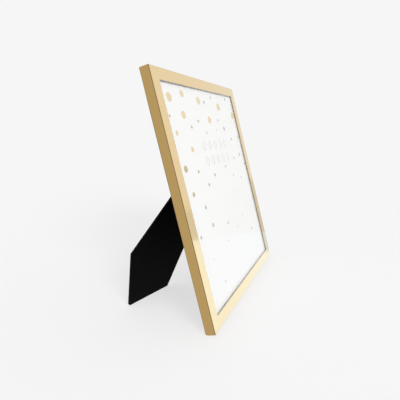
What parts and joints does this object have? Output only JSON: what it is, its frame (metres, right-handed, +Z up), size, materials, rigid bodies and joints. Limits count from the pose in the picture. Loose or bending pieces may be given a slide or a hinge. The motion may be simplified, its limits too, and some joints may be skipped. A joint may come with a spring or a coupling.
{
  "type": "picture frame",
  "caption": "Tabletop picture frame: slim mitred hollow rails hold glass, a picture card and a back panel kept in by turn buttons, and a slanted strut folds out behind to stand it up.",
  "frame": {"origin": "on the table, at the middle of the standing frame's bounding box seen from above", "axes": "+X to the right as seen from the front, +Y backwards from the picture towards the strut, +Z up; the picture faces -Y and leans back 14 degrees"},
  "size_m": [0.216, 0.1182, 0.2602],
  "materials": {
    "gold_rail": "satin, pale gold anodised",
    "corner_key": "moulded nylon",
    "glass": "clear float glass",
    "picture": "smooth printed card",
    "filler": "corrugated board",
    "black_board": "fibreboard faced with matt black paper",
    "zinc_plate": "zinc plated stamped sheet",
    "rivet": "nickel plated"
  },
  "bodies": {
    "frame": {"left_stile": "gold_rail", "right_stile": "gold_rail", "top_rail": "gold_rail", "bottom_rail": "gold_rail", "key_bottom_left": "corner_key", "key_bottom_right": "corner_key", "key_top_left": "corner_key", "key_top_right": "corner_key", "glass": "glass", "picture_card": "picture", "filler_board": "filler", "back_panel": "black_board", "button_rivets": "rivet", "hinge_plate": "zinc_plate", "hinge_pin": "rivet", "plate_rivets": "rivet", "hanger_upright": "zinc_plate", "hanger_sideways": "zinc_plate", "hanger_nails": "rivet"},
    "strut": {"strut_board": "black_board", "strut_leaf": "zinc_plate", "strut_rivets": "rivet"},
    "left_low_button": {"button_left_low": "zinc_plate"},
    "left_high_button": {"button_left_high": "zinc_plate"},
    "right_low_button": {"button_right_low": "zinc_plate"},
    "right_high_button": {"button_right_high": "zinc_plate"},
    "top_button": {"button_top": "zinc_plate"},
    "bottom_button": {"button_bottom": "zinc_plate"}
  },
  "joints": [
    {"name": "strut_hinge", "type": "hinge", "parent": "frame", "child": "strut", "pos_m": [0.018, -0.00387, 0.16877], "axis": [0.8434, -0.13, -0.5213], "range_deg": [-29, 0]},
    {"name": "left_low_turn", "type": "hinge", "parent": "frame", "child": "left_low_button", "pos_m": [-0.1035, -0.01861, 0.11545], "axis": [0, 0.9703, -0.2419], "range_deg": [-90, 90]},
    {"name": "left_high_turn", "type": "hinge", "parent": "frame", "child": "left_high_button", "pos_m": [-0.1035, 0.0007, 0.19288], "axis": [0, 0.9703, -0.2419], "range_deg": [-90, 90]},
    {"name": "right_low_turn", "type": "hinge", "parent": "frame", "child": "right_low_button", "pos_m": [0.1035, -0.03148, 0.06383], "axis": [0, 0.9703, -0.2419], "range_deg": [-90, 90]},
    {"name": "right_high_turn", "type": "hinge", "parent": "frame", "child": "right_high_button", "pos_m": [0.1035, 0.0007, 0.19288], "axis": [0, 0.9703, -0.2419], "range_deg": [-90, 90]},
    {"name": "top_turn", "type": "hinge", "parent": "frame", "child": "top_button", "pos_m": [0, 0.0157, 0.25304], "axis": [0, 0.9703, -0.2419], "range_deg": [-90, 90]},
    {"name": "bottom_turn", "type": "hinge", "parent": "frame", "child": "bottom_button", "pos_m": [0, -0.04648, 0.00367], "axis": [0, 0.9703, -0.2419], "range_deg": [-90, 90]}
  ]
}
